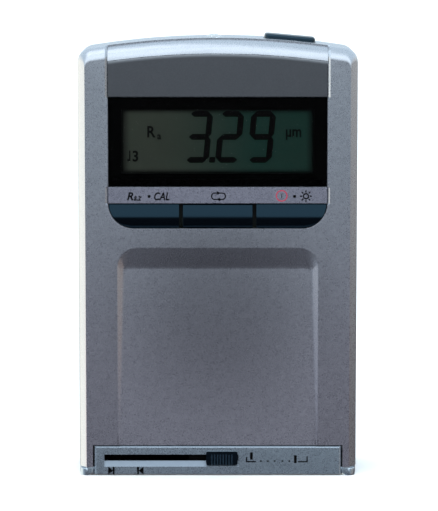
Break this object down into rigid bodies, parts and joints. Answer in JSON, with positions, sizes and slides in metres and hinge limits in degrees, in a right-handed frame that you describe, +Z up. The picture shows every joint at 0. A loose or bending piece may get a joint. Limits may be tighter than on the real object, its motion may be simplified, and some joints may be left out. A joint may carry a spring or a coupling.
{
  "type": "surface roughness tester",
  "caption": "Pocket surface roughness tester in a silver casing with a sunk display, keys, a start button, a motor drive, a lifting stylus pickup and a sliding shutter in its base.",
  "frame": {"origin": "on the ground under the middle of the tester, its proud knob included", "axes": "+Z up, the display faces -Y, +X to the right seen from the front"},
  "size_m": [0.0706, 0.0246, 0.112],
  "materials": {
    "silver_paint": "metallic flake, satin",
    "plate_paint": "metallic flake, satin",
    "base_metal": "painted, satin",
    "key_plastic": "gloss",
    "clear_window": "polished",
    "black_mask": "gloss black",
    "lcd": "satin",
    "clear_lens": "frosted",
    "white_plastic": "matt",
    "black_plastic": "matt",
    "grey_plastic": "matt",
    "contact_rubber": "matt",
    "board": "solder mask",
    "cell": "sleeve",
    "foam": "foam",
    "steel": "bright",
    "cast_metal": "as cast",
    "brass": "turned",
    "ribbon": "film",
    "ruby": "polished"
  },
  "bodies": {
    "casing": {"front_cover": "silver_paint", "back_case": "silver_paint", "legend_strip": "silver_paint", "nameplate": "plate_paint", "base": "base_metal", "display_window": "clear_window", "window_mask": "black_mask", "lcd_glass": "lcd", "indicator_lens": "clear_lens", "indicator_led": "clear_lens", "light_guide": "white_plastic", "key_switches": "white_plastic", "start_switch": "white_plastic", "lcd_holder": "black_plastic", "processor_chip": "black_plastic", "buzzer": "black_plastic", "charging_socket": "black_plastic", "contact_strip": "contact_rubber", "main_board": "board", "battery": "cell", "battery_pad": "foam", "case_screws": "steel", "board_screws": "steel", "base_screws": "steel", "chassis_screws": "steel", "guide_rods": "steel", "drive_motor": "steel", "chassis": "cast_metal", "screw_bearing": "brass", "motor_ribbon": "ribbon"},
    "key_left": {"key_left": "key_plastic"},
    "key_middle": {"key_middle": "key_plastic"},
    "key_right": {"key_right": "key_plastic"},
    "start_button": {"start_button": "key_plastic"},
    "lead_screw": {"lead_screw": "steel"},
    "carriage": {"carriage": "white_plastic", "drive_nut": "brass", "pivot_pin": "steel"},
    "pickup": {"pickup_body": "grey_plastic", "skid": "ruby", "stylus": "steel"},
    "shutter": {"shutter": "grey_plastic", "slider_knob": "key_plastic"}
  },
  "joints": [
    {"name": "key_left_press", "type": "slide", "parent": "casing", "child": "key_left", "axis": [0, 1, 0], "range_m": [0, 0.0006], "stiffness_N_per_m": 400, "springref_m": -0.0005},
    {"name": "key_middle_press", "type": "slide", "parent": "casing", "child": "key_middle", "axis": [0, 1, 0], "range_m": [0, 0.0006], "stiffness_N_per_m": 400, "springref_m": -0.0005},
    {"name": "key_right_press", "type": "slide", "parent": "casing", "child": "key_right", "axis": [0, 1, 0], "range_m": [0, 0.0006], "stiffness_N_per_m": 400, "springref_m": -0.0005},
    {"name": "start_press", "type": "slide", "parent": "casing", "child": "start_button", "axis": [-0.0888, 0, -0.9961], "range_m": [0, 0.0008], "stiffness_N_per_m": 400, "springref_m": -0.0005},
    {"name": "shutter_slide", "type": "slide", "parent": "casing", "child": "shutter", "axis": [-1, 0, 0], "range_m": [0, 0.025]},
    {"name": "carriage_traverse", "type": "slide", "parent": "casing", "child": "carriage", "axis": [1, 0, 0], "range_m": [0, 0.006]},
    {"name": "pickup_lift", "type": "hinge", "parent": "carriage", "child": "pickup", "pos_m": [-0.0024, 0, 0.009], "axis": [0, 1, 0], "range_deg": [0, 14]},
    {"name": "lead_screw_spin", "type": "hinge", "parent": "casing", "child": "lead_screw", "pos_m": [0, 0, 0.021], "axis": [1, 0, 0], "range_deg": [0, 720]}
  ],
  "couplings": [
    {"joint": "pickup_lift", "follows": "shutter_slide", "rad_per_m": 9.7737},
    {"joint": "lead_screw_spin", "follows": "carriage_traverse", "rad_per_m": 2094.4}
  ]
}
